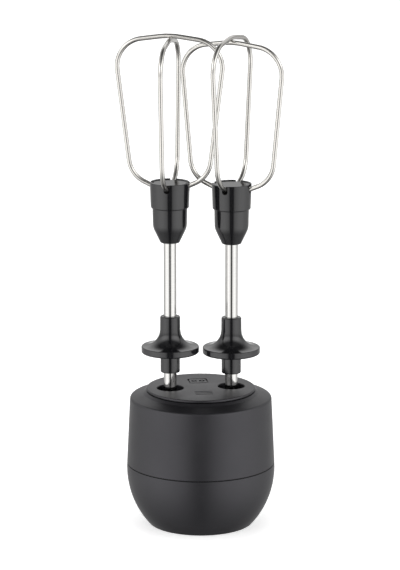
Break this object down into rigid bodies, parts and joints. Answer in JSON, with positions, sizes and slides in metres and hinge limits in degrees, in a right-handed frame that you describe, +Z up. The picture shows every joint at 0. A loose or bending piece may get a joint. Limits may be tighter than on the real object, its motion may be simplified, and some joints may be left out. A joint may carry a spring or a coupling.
{
  "type": "twin beater mixing head",
  "caption": "Round black gearbox with two pull-out wire beaters, driven through a socket in its base, standing with the beaters up.",
  "frame": {"origin": "centre of the drive socket's mouth, on the base plane", "axes": "+Z up the drive axis, towards the beaters; X through both beater axes, +X at the right beater seen from the front (-Y)"},
  "size_m": [0.0816, 0.075, 0.25],
  "materials": {
    "matte_black_shell": "fine satin texture",
    "gloss_black": "polished",
    "polished_steel": "polished stainless",
    "plain_steel": "machined",
    "cast_aluminium": "as cast",
    "sintered_bronze": "sintered",
    "gear_acetal": "moulded, black",
    "black_nylon": "moulded",
    "black_rubber": "matte"
  },
  "bodies": {
    "housing": {"lower_housing": "matte_black_shell", "upper_housing": "matte_black_shell", "top_plate": "matte_black_shell", "seam_gasket": "black_rubber", "socket_liner": "plain_steel", "shaft_seal": "black_rubber", "input_bush": "sintered_bronze", "pinion_bush": "sintered_bronze", "gear_plate": "cast_aluminium", "gear_cover": "cast_aluminium", "frame_pillars": "cast_aluminium", "frame_screws": "plain_steel", "housing_screws": "plain_steel", "idler_pin": "plain_steel", "left_lower_bush": "sintered_bronze", "right_lower_bush": "sintered_bronze", "left_upper_bush": "sintered_bronze", "right_upper_bush": "sintered_bronze", "left_dust_seal": "black_rubber", "right_dust_seal": "black_rubber"},
    "drive": {"drive_coupling": "black_nylon", "input_shaft": "plain_steel", "input_pinion": "plain_steel", "thrust_washer": "plain_steel", "shaft_clip": "plain_steel"},
    "idler": {"idler_gear": "gear_acetal", "idler_washer": "plain_steel"},
    "left_socket": {"left_socket_gear": "gear_acetal", "left_detent_spring": "plain_steel"},
    "left_beater": {"left_beater_shaft": "polished_steel", "left_splash_collar": "gloss_black", "left_wire_cup": "gloss_black", "left_wire_retainer": "gloss_black", "left_wire_cap": "gloss_black", "left_outer_loop": "polished_steel", "left_inner_loop": "polished_steel"},
    "right_socket": {"right_socket_gear": "gear_acetal", "right_detent_spring": "plain_steel"},
    "right_beater": {"right_beater_shaft": "polished_steel", "right_splash_collar": "gloss_black", "right_wire_cup": "gloss_black", "right_wire_retainer": "gloss_black", "right_wire_cap": "gloss_black", "right_outer_loop": "polished_steel", "right_inner_loop": "polished_steel"}
  },
  "joints": [
    {"name": "drive_spin", "type": "hinge", "parent": "housing", "child": "drive", "pos_m": [0, 0, 0.045], "axis": [0, 0, 1], "continuous": true},
    {"name": "idler_spin", "type": "hinge", "parent": "housing", "child": "idler", "pos_m": [-0.00183, 0.01528, 0.045], "axis": [0, 0, 1], "continuous": true},
    {"name": "left_socket_spin", "type": "hinge", "parent": "housing", "child": "left_socket", "pos_m": [-0.0155, 0, 0.045], "axis": [0, 0, 1], "continuous": true},
    {"name": "right_socket_spin", "type": "hinge", "parent": "housing", "child": "right_socket", "pos_m": [0.0155, 0, 0.045], "axis": [0, 0, 1], "continuous": true},
    {"name": "left_beater_pull", "type": "slide", "parent": "left_socket", "child": "left_beater", "axis": [0, 0, 1], "range_m": [0, 0.028]},
    {"name": "right_beater_pull", "type": "slide", "parent": "right_socket", "child": "right_beater", "axis": [0, 0, 1], "range_m": [0, 0.028]}
  ],
  "couplings": [
    {"joint": "right_socket_spin", "follows": "left_socket_spin", "ratio": -1},
    {"joint": "idler_spin", "follows": "left_socket_spin", "ratio": -3.1},
    {"joint": "drive_spin", "follows": "left_socket_spin", "ratio": 10.54},
    {"joint": "right_beater_pull", "follows": "left_beater_pull", "ratio": 1}
  ]
}
